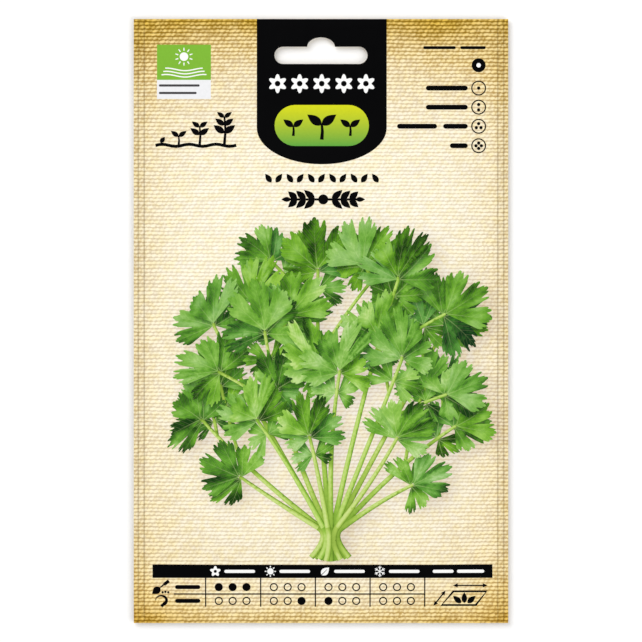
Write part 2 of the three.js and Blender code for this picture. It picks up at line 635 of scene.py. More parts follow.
def towards(start, angle, length):
    """The point at that length from start, at an angle anticlockwise from straight up."""
    return (start[0] - math.sin(angle) * length, start[1] + math.cos(angle) * length)


def sprig(foot, angle, reach, width, leaf, depth, chance):
    """A stem that ends in a leaf of three or five leaflets: its pieces, from the back to the front."""
    tip = towards(foot, angle, reach)
    middle = towards(foot, angle + chance.uniform(*STEM_BEND), reach * STEM_MIDDLE)
    lean = angle + chance.uniform(*LEAF_LEAN)
    tone = chance.uniform(*STEM_TONE)
    collar = towards(tip, lean + math.pi, leaf * COLLAR_BELOW)
    stem = Stem(foot, middle, collar, width, STEM_TIP_WIDTH, tone)
    pieces = []
    if chance.random() < LOWER_PAIR_ODDS:
        node = stem.at(1 - leaf * LOWER_PAIR_BELOW / reach)
        pieces += leaf_pair(node, angle, *LOWER_PAIR, leaf, tone, depth, chance)
    pieces += leaf_pair(collar, lean, *UPPER_PAIR, leaf, tone, depth, chance)
    pieces.append(stem)
    bend = towards(collar, lean, leaf * END_STALK_BEND)
    pieces.append(Stem(collar, bend, tip, STEM_TIP_WIDTH, END_STALK_WIDTH, tone))
    pieces.append(Leaflet(tip, lean, leaf, chance, depth))
    return pieces, stem


def leaf_pair(node, along, spread, share, leaf, tone, depth, chance):
    """Two leaflets on short stalks, one to each side of a stem."""
    pieces = []
    for side in (-1, 1):
        angle = along + side * math.radians(spread + chance.uniform(*PAIR_SHAKE))
        start = towards(node, angle, leaf * PAIR_STALK)
        bend = towards(node, angle, leaf * PAIR_STALK * PAIR_STALK_BEND)
        pieces.append(Stem(node, bend, start, PAIR_STALK_WIDTH, PAIR_STALK_WIDTH, tone))
        length = leaf * share * chance.uniform(*PAIR_SIZE)
        pieces.append(Leaflet(start, angle, length, chance, depth))
    return pieces


def shoot(number, chance):
    """A long stem with a leaf at its tip and shorter sprigs at its sides, from the bunch's foot."""
    lean, reach, leaf, sides = SHOOTS[number]
    depth = number * LAYERS // len(SHOOTS)
    angle = math.radians(lean + chance.uniform(*SHOOT_SHAKE))
    share = -lean / FULL_LEAN
    waist = (BUNCH_X + share * WAIST_SPREAD, BUNCH_Y)
    foot = (BUNCH_X + share * FOOT_SPREAD, BUNCH_Y - BUNCH_FOOT + abs(share))
    pieces, stem = sprig(waist, angle, reach, STEM_WIDTH, leaf, depth, chance)
    behind = []
    way = chance.choice((-1, 1))
    for place in range(sides):
        at = SPRIG_AT - SPRIG_STEP * place + chance.uniform(*SPRIG_SHAKE)
        way = -way
        turn = angle + way * math.radians(chance.uniform(*SPRIG_TURN))
        length = reach * (1 - at) * SPRIG_REACH + chance.uniform(*SPRIG_EXTRA)
        if abs(towards(stem.at(at), turn, length)[0] - BUNCH_X) > REACH_ASIDE:
            turn = 2 * angle - turn
        size = leaf * chance.uniform(*SPRIG_LEAF)
        behind += sprig(stem.at(at), turn, length, SIDE_STEM_WIDTH, size, depth, chance)[0]
    bend = towards(waist, angle + math.pi, FOOT_BEND)
    below = Stem(foot, bend, waist, STEM_WIDTH, STEM_WIDTH, stem.tone)
    return behind + [below] + pieces


def bunch():
    """All stems and leaflets of the bunch, from the back to the front."""
    chance = random.Random(21)
    return [piece for number in range(len(SHOOTS)) for piece in shoot(number, chance)]


class Shadow:
    """A grid over the picture that tells how much lies above each point."""

    STEP = 0.3
    LOW = np.array((-SIDE, -70.0))
    REACH = 110.0  # upwards from there
    TAIL = 3  # how many reaches out a blur ends
    LAST = 1.001  # keeps each reading inside the last cell

    def __init__(self):
        self.shape = (int(self.REACH / self.STEP), int(2 * SIDE / self.STEP))
        rows, columns = np.mgrid[0:self.shape[0], 0:self.shape[1]]
        self.points = np.column_stack((columns.ravel(), rows.ravel())) * self.STEP + self.LOW
        self.above = np.zeros(self.shape)

    def add(self, outline):
        self.above = np.maximum(self.above, inside(self.points, outline).reshape(self.shape))

    def softened(self, reach):
        """The shapes above, blurred over that reach."""
        radius = int(self.TAIL * reach / self.STEP)
        kernel = np.exp(-0.5 * (np.arange(-radius, radius + 1) * self.STEP / reach) ** 2)
        kernel /= kernel.sum()
        blurred = self.above
        for axis in (0, 1):
            blurred = np.apply_along_axis(np.convolve, axis, blurred, kernel, mode="same")
        return blurred

    def read(self, field, xy, shift=(0, 0)):
        """The field's value where each point's shade comes from."""
        place = (xy - np.array(shift) - self.LOW) / self.STEP
        column = np.clip(place[:, 0], 0, self.shape[1] - self.LAST)
        row = np.clip(place[:, 1], 0, self.shape[0] - self.LAST)
        c, r = column.astype(int), row.astype(int)
        fc, fr = column - c, row - r
        low = field[r, c] * (1 - fc) + field[r, c + 1] * fc
        high = field[r + 1, c] * (1 - fc) + field[r + 1, c + 1] * fc
        return low * (1 - fr) + high * fr


LEAF_SHADE_REACH = 0.75
LEAF_SHADE_SHIFT = (0.8, -0.8)
GROUND_SHADE_REACH = 2.2
GROUND_SHADE_SHIFT = (1.8, -0.9)


def herb_shapes():
    """The bunch as printed shapes, the shade that it throws on the ground, and what it covers."""
    pieces = bunch()
    shadow = Shadow()
    shades = []
    for piece in reversed(pieces):
        shades.append(shadow.softened(LEAF_SHADE_REACH))
        shadow.add(piece.outline())
    shades.reverse()
    shapes = [printed_piece(piece, shadow, shade) for piece, shade in zip(pieces, shades)]
    ground = shadow.softened(GROUND_SHADE_REACH)
    return shapes, lambda xy: shadow.read(ground, xy, GROUND_SHADE_SHIFT), shadow


def printed_piece(piece, shadow, shade):
    """A leaflet or stem as it is printed, darker where other pieces lie above it."""
    def values(xy):
        lit, glint = piece.light(xy)
        dark = 1 - piece.SHADE * shadow.read(shade, xy, LEAF_SHADE_SHIFT)
        return np.column_stack((lit * dark, np.full(len(xy), piece.tone), glint * dark))

    return Printed(piece.outline(), piece.INK, values, piece.place)


# Dark tab from the top edge, with a row of flowers and an oval
BANNER_X = 0.2
BANNER_HALF = 17.35
BANNER_FOOT = 51.6
BANNER_END = 9.8
FLOWERS = 5
FLOWER_Y = 63.4
FLOWER_STEP = 5.9
FLOWER = (2.55, 6, 0.42)  # radius, petals, and how deep they are cut in
FLOWER_EYE = 0.75
OVAL_Y = 52.2
OVAL_HALF = 12.6
OVAL_HEIGHT = 11.0
OVAL_SEEDLINGS = (  # x from the tab's middle, foot, height, pairs of leaves, leaf length
    (0.0, 48.4, 4.4, 1, 4.8),
    (-7.6, 49.4, 2.8, 1, 3.3),
    (7.6, 49.4, 2.8, 1, 3.3),
)

# Seedlings
SEEDLING_LINE = (0.11, 0.14)  # the stem's width: a share of the leaf length, and what is added to it
SEEDLING_TAPER = np.array((1.5, 1.2, 0.9))
SEEDLING_BEND = 0.04
SEEDLING_SHRINK = 0.16  # how much shorter the leaves of each next pair are
SEEDLING_SPAN = 0.8  # the share of the height over which the pairs are spread
SEEDLING_DROP = 0.1
SEEDLING_LEAN = math.radians(54)


def seedling(x, y, height, pairs, leaf):
    """A small upright plant with pairs of leaves that shrink towards its tip."""
    share, more = SEEDLING_LINE
    path = np.array(((x, y), (x + SEEDLING_BEND * height, y + height / 2), (x, y + height)))
    outlines = [ribbon(path, SEEDLING_TAPER * (share * leaf + more))]
    for pair in range(pairs):
        size = leaf * (1 - SEEDLING_SHRINK * pair)
        node = y + height * (1 - SEEDLING_SPAN * (pairs - 1 - pair) / pairs) - SEEDLING_DROP * size
        for side in (-1, 1):
            outlines.append(turned(blade(size, size / 2), -side * SEEDLING_LEAN, x, node))
    return inked(BLACK, *outlines)


def banner_shapes():
    """A dark tab with a round end, a row of flowers and three seedlings on an oval."""
    end = arc(BANNER_X, BANNER_FOOT, BANNER_HALF, BANNER_END, np.linspace(math.pi, 2 * math.pi, 33))
    top = ((BANNER_X + BANNER_HALF, TOP), (BANNER_X - BANNER_HALF, TOP))
    shapes = inked(BLACK, np.vstack((end, top)))
    for x in row(BANNER_X, FLOWER_STEP, FLOWERS):
        shapes += inked(WHITE, rosette(x, FLOWER_Y, *FLOWER))
        shapes += inked(BLACK, circle(x, FLOWER_Y, FLOWER_EYE, 16))
    oval = bar(BANNER_X - OVAL_HALF, BANNER_X + OVAL_HALF, OVAL_Y, OVAL_HEIGHT, 16)
    shapes.append(graded(oval, EMBLEM_GREEN, LIME))
    for x, *rest in OVAL_SEEDLINGS:
        shapes += seedling(BANNER_X + x, *rest)
    return shapes


# Green label with a pale strip under it
LABEL = (-43.8, 64.4, -29.4, 73.8)  # left, foot, right, top
STRIP = (-43.8, 59.3, -29.4, 64.4)
SUN_Y = 70.6
SUN_RADIUS = 1.15
SUN_RAYS = 10
SUN_RAY = ((0, 1.6), (0, 2.4), 0.36, 0.22)  # start, end and the widths there
FURROWS = 3
FURROW_Y = 67.2
FURROW_STEP = 0.85
FURROW_INSET = 2.2
FURROW_GROWTH = 0.5  # how much further each next furrow reaches at both ends
FURROW_WAVE = (0.35, 10.0)  # height and length
FURROW_WIDTH = 0.32
STRIP_LINES = ((-43.3, -32.4, 62.9, 0.6), (-43.3, -33.2, 60.9, 0.6))  # start, end, height, width


def label_shapes():
    """A green label with a sun over furrows, and a pale strip with two lines."""
    left, _, right, _ = LABEL
    sun = ((left + right) / 2, SUN_Y)
    outlines = [circle(*sun, SUN_RADIUS), *rays(*sun, SUN_RAYS, stroke(*SUN_RAY))]
    for number in range(FURROWS):
        inset = FURROW_INSET - FURROW_GROWTH * number
        x = np.linspace(left + inset, right - inset, 15)
        outlines.append(wavy_line(x, FURROW_Y - FURROW_STEP * number, *FURROW_WAVE, left, FURROW_WIDTH))
    shapes = inked(LABEL_WHITE, rectangle(*STRIP)) + inked(LABEL_GREEN, rectangle(*LABEL))
    return shapes + inked(WHITE, *outlines) + inked(INK_GREY, *(bar(*line) for line in STRIP_LINES))


# Column at the right: a light line, a disc and four rings, each ring with strokes beside it
LIST_X = 42.1
DISC = (LIST_X, 68.3)
LIGHT_LINE_Y = 73.0
LIGHT_LINE = ((27.3, 36.0), (37.2, 44.0))
LIGHT_LINE_WIDTH = 0.8
DISC_RADIUS = 1.87
DISC_HOLE = 0.6
LIST_ROWS = (  # height, and where each stroke starts and ends
    (62.2, ((28.0, 39.2),)),
    (57.1, ((28.0, 39.2),)),
    (52.0, ((20.3, 31.0), (32.6, 39.2))),
    (46.8, ((34.4, 39.2),)),
)
LIST_STROKE_WIDTH = 1.3
LIST_RING = 2.0
PIP = 0.46
PIP_SPREAD = 0.72
RULE = 0.34  # the width of a thin line


def ring(x, y, radius, line):
    """A thin dark ring on the ground."""
    return inked(BLACK, circle(x, y, radius, 32)) + [Printed(circle(x, y, radius - line, 32), "ground")]


def pips(x, y, count):
    """As many small dots as the count, set evenly round a point."""
    spread = PIP_SPREAD if count > 1 else 0.0
    centres = arc(x, y, spread, spread, math.pi / 2 + np.arange(count) * 2 * math.pi / count)
    return inked(BLACK, *(circle(*centre, PIP, 12) for centre in centres))


def side_list_shapes():
    shapes = inked(BLACK, *bars(LIGHT_LINE, LIGHT_LINE_Y, LIGHT_LINE_WIDTH))
    shapes += inked(BLACK, circle(*DISC, DISC_RADIUS, 32)) + inked(WHITE, circle(*DISC, DISC_HOLE, 16))
    for count, (y, strokes) in enumerate(LIST_ROWS, 1):
        shapes += ring(LIST_X, y, LIST_RING, RULE) + pips(LIST_X, y, count)
        shapes += inked(BLACK, *bars(strokes, y, LIST_STROKE_WIDTH))
    return shapes


# Growing plants at the left
SOIL_LEFT = -44.2
SOIL_RIGHT = -22.6
SOIL_Y = 46.9
SOIL_WAVE = (0.28, 7.2)  # height and length
SOIL_WIDTH = 0.85
SPROUT = (2.0, 1.25)
SPROUT_LEAN = math.radians(-38)
SPROUT_PLACE = (-42.9, 47.6)
GROWTH_SEEDLINGS = (  # x, foot, height, pairs of leaves, leaf length
    (-38.0, 47.0, 2.5, 1, 2.6),
    (-32.4, 47.0, 5.0, 2, 3.1),
    (-25.8, 47.0, 7.6, 3, 3.6),
)


def growth_shapes():
    """Four stages of a plant on a wavy line of soil."""
    soil = wavy_line(np.linspace(SOIL_LEFT, SOIL_RIGHT, 25), SOIL_Y, *SOIL_WAVE, SOIL_LEFT, SOIL_WIDTH)
    shapes = inked(BLACK, soil, turned(blade(*SPROUT), SPROUT_LEAN, *SPROUT_PLACE))
    for plant in GROWTH_SEEDLINGS:
        shapes += seedling(*plant)
    return shapes


# Seeds and a leafy branch under the tab
SEED_SIGNS = 11
SEED_SIGN_Y = 38.1
SEED_SIGN_STEP = 2.85
SEED_SIGN = (2.9, 1.5)
SEED_SIGN_LEAN = math.radians(35)
BRANCH_X = 0.6
BRANCH_Y = 32.4
BRANCH_HALF = 9.6
BRANCH_WIDTH = 0.6
BUD = 1.35
BRANCH_NODES = 3
FIRST_NODE = 2.3  # from the bud's middle
NODE_STEP = 2.35
BRANCH_LEAF = (3.8, 1.75)
BRANCH_SHRINK = 0.3
BRANCH_SPREAD = 42  # degrees between a leaf and the branch
BRANCH_TIP = (2.6, 1.3)
TIP_OVERLAP = 1.0


def branch_shapes():
    """A row of slanted seeds, and under it a level branch with leaves on both sides of a round bud."""
    seed = blade(*SEED_SIGN) - (0, SEED_SIGN[0] / 2)
    outlines = []
    for number, x in enumerate(row(BANNER_X, SEED_SIGN_STEP, SEED_SIGNS)):
        outlines.append(turned(seed, SEED_SIGN_LEAN * (-1) ** number, x, SEED_SIGN_Y))
    outlines.append(circle(BRANCH_X, BRANCH_Y, BUD))
    outlines.append(bar(BRANCH_X - BRANCH_HALF, BRANCH_X + BRANCH_HALF, BRANCH_Y, BRANCH_WIDTH))
    length, width = BRANCH_LEAF
    for side in (-1, 1):
        for number in range(BRANCH_NODES):
            leaf = blade(length - BRANCH_SHRINK * number, width)
            node = BRANCH_X + side * (FIRST_NODE + NODE_STEP * number)
            for up in (-1, 1):
                outlines.append(turned(leaf, -side * math.radians(90 - up * BRANCH_SPREAD), node, BRANCH_Y))
        tip_x = BRANCH_X + side * (BRANCH_HALF - TIP_OVERLAP)
        outlines.append(turned(blade(*BRANCH_TIP), -side * math.pi / 2, tip_x, BRANCH_Y))
    return inked(BLACK, *outlines)


# Sowing calendar along the foot
CALENDAR_BAR = (-45.0, -68.6, 45.8, -65.0)  # left, foot, right, top
CALENDAR_FOOT = -76.3
CALENDAR_RULES = (-30.8, -16.1, -1.5, 13.1, 27.7)
ROWS_LEFT = -39.3
ROW_LINES = (-71.05, -74.75)
ROW_WORD = (-39.0, -32.2)
ROW_WORD_WIDTH = 1.1
FIRST_MONTH = 3.5  # from the rule at the left of its season
MONTH_STEP = 3.7
MONTH_RADIUS = 1.1
MONTH_LINE = 0.33
SOWING = (0, 1, 2)
HARVEST = (5, 6)


def calendar_shapes():
    """A sowing calendar: four seasons of three months each, in two rows."""
    outlines = [rectangle(*CALENDAR_BAR)]
    for x in CALENDAR_RULES:
        outlines.append(rectangle(x - RULE / 2, CALENDAR_FOOT, x + RULE / 2, CALENDAR_BAR[1]))
    middle = sum(ROW_LINES) / 2
    outlines.append(rectangle(ROWS_LEFT, middle - RULE / 2, CALENDAR_RULES[-1], middle + RULE / 2))
    shapes = inked(BLACK, *outlines)
    for y, filled in zip(ROW_LINES, (SOWING, HARVEST)):
        for month in range(12):
            season, place = divmod(month, 3)
            x = CALENDAR_RULES[season] + FIRST_MONTH + place * MONTH_STEP
            if month in filled:
                shapes += inked(BLACK, circle(x, y, MONTH_RADIUS))
            else:
                shapes += ring(x, y, MONTH_RADIUS, MONTH_LINE)
        shapes += inked(BLACK, bar(*ROW_WORD, y, ROW_WORD_WIDTH))
    return shapes + season_shapes() + row_sign_shapes() + spacing_shapes()


# Season signs on the calendar's bar, each a little right of its season's rule
SIGN_SHIFT = 2.6
SPRING_FLOWER = (1.45, 5, 0.4)
SPRING_EYE = 0.42
SUMMER_SUN = 0.85
SUMMER_RAYS = 8
SUMMER_RAY = ((0, 1.05), (0, 1.5), 0.34, 0.2)
AUTUMN_LEAF = (2.9, 1.9)
AUTUMN_LEAN = math.radians(-45)
AUTUMN_FOOT = -1.0  # aside and up from the sign's middle
AUTUMN_VEIN = ((-1.2, -1.2), (0.5, 0.5), 0.22, 0.12)
WINTER_ARMS = 6
WINTER_ARM = (  # the arm and its two twigs
    ((0, 0), (0, 1.5), 0.22, 0.22),
    ((0, 0.75), (-0.4, 1.2), 0.18, 0.18),
    ((0, 0.75), (0.4, 1.2), 0.18, 0.18),
)
SEASON_WORD = (2.4, 10.6)  # where it starts and ends, measured from the sign
LAST_WORDS = ((29.8, 35.4), (36.3, 43.6))
BAR_WORD_WIDTH = 0.85


def season_shapes():
    """White signs on the calendar's bar: a flower, a sun, a leaf and a snow crystal, each with a stroke."""
    y = (CALENDAR_BAR[1] + CALENDAR_BAR[3]) / 2
    places = [rule + SIGN_SHIFT for rule in CALENDAR_RULES[:-1]]
    spring, summer, autumn, winter = places
    shapes = inked(WHITE, rosette(spring, y, *SPRING_FLOWER))
    shapes += inked(BLACK, circle(spring, y, SPRING_EYE, 12))
    sun_rays = rays(summer, y, SUMMER_RAYS, stroke(*SUMMER_RAY))
    leaf = turned(blade(*AUTUMN_LEAF), AUTUMN_LEAN, autumn + AUTUMN_FOOT, y + AUTUMN_FOOT)
    shapes += inked(WHITE, circle(summer, y, SUMMER_SUN, 20), *sun_rays, leaf)
    shapes += inked(BLACK, stroke(*AUTUMN_VEIN) + (autumn, y))
    for part in WINTER_ARM:
        shapes += inked(WHITE, *rays(winter, y, WINTER_ARMS, stroke(*part)))
    words = [(x + SEASON_WORD[0], x + SEASON_WORD[1]) for x in places]
    return shapes + inked(WHITE, *bars([*words, *LAST_WORDS], y, BAR_WORD_WIDTH))


# Signs beside the calendar's rows
ROW_SIGN_X = -42.9
ROW_SIGN_DROP = 0.1
TROWEL = (2.8, 2.0)
TROWEL_LEAN = math.radians(128)
TROWEL_SHAFT = np.array(((0, 0), (0.9, 0.75), (1.0, 0.8), (2.3, 1.75)))
TROWEL_WIDTHS = np.array((0.4, 0.4, 0.9, 0.9))
SOWN_PLACES = ((0.6, -1.3), (1.35, -1.18), (2.1, -1.3))
SOWN_SEED = 0.33
SICKLE_MIDDLE = (0.2, 0.3)
SICKLE_REACH = (1.45, 1.2)
SICKLE_TURN = np.radians(np.linspace(185, -60, 17))
SICKLE_WIDTHS = np.linspace(0.15, 1.0, 17)
SICKLE_HANDLE = ((0.1, 0.1), (-0.7, -0.6), 0.75, 0.9)


def row_sign_shapes():
    """Beside the rows: a trowel with seeds for sowing, and a sickle for the harvest."""
    trowel_at, sickle_at = (np.array((ROW_SIGN_X, y - ROW_SIGN_DROP)) for y in ROW_LINES)
    outlines = [turned(blade(*TROWEL), TROWEL_LEAN, *trowel_at)]
    outlines.append(ribbon(TROWEL_SHAFT + trowel_at, TROWEL_WIDTHS))
    outlines += [circle(*(trowel_at + place), SOWN_SEED, 10) for place in SOWN_PLACES]
    hook = arc(*(sickle_at + SICKLE_MIDDLE), *SICKLE_REACH, SICKLE_TURN)
    outlines.append(ribbon(hook, SICKLE_WIDTHS))
    outlines.append(stroke(*SICKLE_HANDLE) + hook[-1])
    return inked(BLACK, *outlines)


# Slanted plot at the calendar's right end
PLOT = np.array(((31.9, -76.1), (41.5, -76.1), (44.5, -71.95), (35.2, -71.95)))
PLOT_HOLE = (0.9, 0.76)
PLOT_LEAF = (2.9, 1.5)
PLOT_LEAF_LEAN = math.radians(48)
PLOT_LEAF_STEP = 0.85
PLOT_LEAF_DROP = 1.3
ARROW_ABOVE = (0.0, 1.35)
ARROW_BESIDE = (-1.9, 0.0)
ARROW_WIDTH = 0.36
ARROW_INSET = 0.5  # how far the line stops short of the tips
ARROW_HEAD = 1.3
ARROW_HEAD_HALF = 0.58


def spacing_shapes():
    """A slanted plot with a plant of three leaves, and a line with arrowheads along two of its sides."""
    centre = PLOT.mean(0)
    shapes = inked(BLACK, PLOT) + [Printed(centre + (PLOT - centre) * PLOT_HOLE, "ground")]
    for side in (-1, 0, 1):
        root = centre + (PLOT_LEAF_STEP * side, -PLOT_LEAF_DROP)
        shapes += inked(BLACK, turned(blade(*PLOT_LEAF), -side * PLOT_LEAF_LEAN, *root))
    shapes += arrow(PLOT[3] + ARROW_ABOVE, PLOT[2] + ARROW_ABOVE)
    return shapes + arrow(PLOT[0] + ARROW_BESIDE, PLOT[3] + ARROW_BESIDE)


def arrow(start, end):
    """A thin line with a head at each end."""
    ahead = (end - start) / np.linalg.norm(end - start)
    across = np.array((-ahead[1], ahead[0])) * ARROW_HEAD_HALF
    inset = ahead * ARROW_INSET
    outlines = [stroke(start + inset, end - inset, ARROW_WIDTH, ARROW_WIDTH)]
    for tip, way in ((start, ahead), (end, -ahead)):
        foot = tip + way * ARROW_HEAD
        outlines.append(np.array((tip, foot - across, foot + across)))
    return inked(BLACK, *outlines)


def front_signs():
    signs = banner_shapes() + label_shapes() + side_list_shapes()
    return signs + growth_shapes() + branch_shapes() + calendar_shapes()


# The back: the same ground with a dark head and a pale panel of plain lines
BACK_HEAD = (-40.0, 39.0, 40.0, 48.0)  # left, foot, right, top
BACK_PANEL = (-40.0, -66.0, 40.0, 39.0)
BACK_FLOWER = (2.2, 6, 0.42)
BACK_FLOWER_Y = 43.5
BACK_FLOWER_STEP = 6.2
BACK_LINE_START = 35.0
BACK_LINE_END = -35.0
BACK_FIRST_LINE = 33.0
BACK_LAST_LINE = -54.0  # no group of lines starts below this
BACK_GROUP = 4
BACK_GROUP_GAP = 3.4
BACK_LINE_STEP = 2.6
BACK_LINE_WIDTH = 0.8
BACK_LINE_CUT = 14.0  # the most by which a line falls short
BACK_STRIP = (10.0, 35.0, -61.0, 1.4)  # start, end, height, width


def back_shapes():
    """A panel of lines in groups. Seen from below, the lines start at the high x."""
    shapes = inked(BLACK, rectangle(*BACK_HEAD)) + inked(LABEL_WHITE, rectangle(*BACK_PANEL))
    for x in row(0, BACK_FLOWER_STEP, FLOWERS):
        shapes += inked(WHITE, rosette(x, BACK_FLOWER_Y, *BACK_FLOWER))
    chance = random.Random(4)
    y = BACK_FIRST_LINE
    while y > BACK_LAST_LINE:
        for _ in range(BACK_GROUP):
            end = BACK_LINE_END + chance.uniform(0, BACK_LINE_CUT)
            shapes += inked(INK_GREY, bar(end, BACK_LINE_START, y, BACK_LINE_WIDTH))
            y -= BACK_LINE_STEP
        y -= BACK_GROUP_GAP
    return shapes + inked(LABEL_GREEN, bar(*BACK_STRIP))


# Meshes
def grid_points(step, shake, seed):
    """Points all over the sheet, a little shaken, clear of its edge."""
    draw = np.random.default_rng(seed)
    x, y = np.meshgrid(
        np.linspace(-SIDE + step / 2, SIDE - step / 2, int((WIDTH - step) / step)),
        np.linspace(-TOP + step / 2, TOP - step / 2, int((HEIGHT - step) / step)),
    )
    points = np.column_stack((x.ravel(), y.ravel()))
    return points + draw.uniform(-shake, shake, points.shape) * step


def seal_line_points():
    """Extra points along the pressed side lines, so that they are real grooves."""
    points = []
    for side in (-1, 1):
        for line in SEAL_LINES:
            for off, stagger in SEAL_ROWS:
                y = np.arange(SEAL_STEP / 2 - TOP, TOP - SEAL_END, SEAL_STEP) + stagger * SEAL_STEP
                y = y[y < TOP - SEAL_END]
                points.append(np.column_stack((np.full(len(y), side * (SIDE - line + off)), y)))
    return np.vstack(points)


def split_edges(outline, step):
    """The outline with its long edges divided."""
    points = []
    for start, end in zip(outline, np.roll(outline, -1, axis=0)):
        count = max(1, round(float(np.linalg.norm(end - start)) / step))
        points += [start + (end - start) * i / count for i in range(count)]
    return np.array(points)


SHEET_OUTLINE = split_edges(rectangle(-SIDE, -TOP, SIDE, TOP), EDGE_STEP)
SLOT_OUTLINE = slot_outline()


def triangulate(outlines, loose):
    """Points and triangles of the plane, divided along every outline."""
    edges = []
    first = 0
    for outline in outlines:
        count = len(outline)
        edges += [(first + i, first + (i + 1) % count) for i in range(count)]
        first += count
    points = [Vector(map(float, point)) for point in np.vstack((*outlines, loose))]
    made = delaunay_2d_cdt(points, edges, [], 0, TOUCH, False)
    return np.array([tuple(point) for point in made[0]]), np.array(made[2])


def sheet_part(xy, triangles):
    """The triangles that lie in the sheet and not in its slot, with points that nearly meet made one."""
    xy, merged = np.unique(np.round(xy, MERGE_PLACES), axis=0, return_inverse=True)
    triangles = merged.reshape(-1)[triangles]
    whole = np.all(triangles != np.roll(triangles, 1, axis=1), axis=1)
    centres = xy[triangles].mean(1)
    in_sheet = whole & inside(centres, SHEET_OUTLINE) & ~inside(centres, SLOT_OUTLINE)
    used, numbers = np.unique(triangles[in_sheet], return_inverse=True)
    return xy[used], numbers.reshape(-1, 3)


def rim_loops(triangles):
    """The sheet's free edges as rings of points, with the sheet on the left."""
    edges = np.vstack((triangles[:, [0, 1]], triangles[:, [1, 2]], triangles[:, [2, 0]]))
    known = set(map(tuple, edges))
    following = {a: b for a, b in known if (b, a) not in known}
    loops = []
    while following:
        start, point = following.popitem()
        loop = [start]
        while point != start:
            loop.append(point)
            point = following.pop(point)
        loops.append(loop)
    return loops


def rim_walls(xy, inner_xy, loops):
    """Quads that join the printed side's rim to the inner side's, whose points are numbered after it."""
    inner = {tuple(np.round(point, MERGE_PLACES)): len(xy) + i for i, point in enumerate(inner_xy)}
    walls = []
    for loop in loops:
        twins = [inner[tuple(np.round(xy[i], MERGE_PLACES))] for i in loop]
        pairs = list(zip(loop, twins))
        for (point, twin), (after, next_twin) in zip(pairs, pairs[1:] + pairs[:1]):
            walls.append((twin, next_twin, after, point))
    return walls


def raised(xy, height):
    return np.column_stack((xy, height(xy[:, 0], xy[:, 1])))


def add_object(name, data):
    made = bpy.data.objects.new(name, data)
    bpy.context.scene.collection.objects.link(made)
    return made


def make_panel(name, shapes, loose, printed_height, inner_height, printed_up, ground_shade=None):
    """One paper sheet whose printed side is divided along its print, with a plain inner side."""
    outlines = [SHEET_OUTLINE, SLOT_OUTLINE] + [split_edges(shape.outline, OUTLINE_STEP) for shape in shapes]
    xy, faces = sheet_part(*triangulate(outlines, loose))
    loops = rim_loops(faces)
    inner_loose = grid_points(INNER_STEP, shake=0.1, seed=3)
    inner_xy, inner_faces = sheet_part(*triangulate([xy[loop] for loop in loops], inner_loose))
    walls = np.array(rim_walls(xy, inner_xy, loops))
    if printed_up:
        inner_faces = inner_faces[:, ::-1]
    else:
        faces = faces[:, ::-1]
        walls = walls[:, ::-1]

    mesh = bpy.data.meshes.new(name)
    points = np.vstack((raised(xy, printed_height), raised(inner_xy, inner_height))) * MM
    mesh.from_pydata(points.tolist(), [], faces.tolist() + (inner_faces + len(xy)).tolist() + walls.tolist())
    print_on(mesh, xy, faces, shapes, ground_shade)
    flat_map = mesh.uv_layers.new(name="OFBake")
    flat_map.data.foreach_set("uv", sheet_map(mesh, len(faces), len(inner_faces)).ravel())
    finish_sheet(mesh)
    return add_object(name, mesh)


INKS = ("ground", "solid", "leaf", "stem", "paper")


def print_on(mesh, xy, faces, shapes, ground_shade):
    """Gives each face its ink, and each printed corner the numbers that its ink's material reads."""
    owner = np.full(len(faces), -1)
    centres = xy[faces].mean(1)
    for number, shape in enumerate(shapes):
        owner[inside(centres, shape.outline)] = number
    wears = [INKS.index(shape.ink) for shape in shapes] + [INKS.index("ground")]
    slots = np.full(len(mesh.polygons), INKS.index("paper"), np.int32)
    slots[:len(faces)] = np.array(wears)[owner]
    mesh.polygons.foreach_set("material_index", slots)
    for ink in INKS:
        mesh.materials.append(MATERIALS[ink])

    values = np.zeros((len(mesh.loops), 4))
    values[:, 3] = 1
    places = np.zeros((len(mesh.loops), 2))
    corner_xy = xy[faces].reshape(-1, 2)
    corner_owner = owner.repeat(3)
    for number, shape in enumerate(shapes):
        at = np.flatnonzero(corner_owner == number)
        if len(at) and shape.values:
            values[at, :3] = shape.values(corner_xy[at])
        if len(at) and shape.place:
            places[at] = shape.place(corner_xy[at])
    if ground_shade:
        at = np.flatnonzero(slots[:len(faces)].repeat(3) == INKS.index("ground"))
        values[at, 0] = ground_shade(corner_xy[at])
    carried = mesh.color_attributes.new("print", "FLOAT_COLOR", "CORNER")
    carried.data.foreach_set("color", values.astype(np.float32).ravel())
    place_map = mesh.uv_layers.new(name="place")
    place_map.data.foreach_set("uv", places.astype(np.float32).ravel())


MAP_MARGIN = 0.005
INNER_MAP = (0.66, 0.5)  # where the inner side starts across the map, and its scale
WALL_MAP_Y = 0.55
WALL_CELL = 0.008
WALL_FILL = 0.8  # how much of its cell a wall's face fills
WALL_COLUMNS = 40


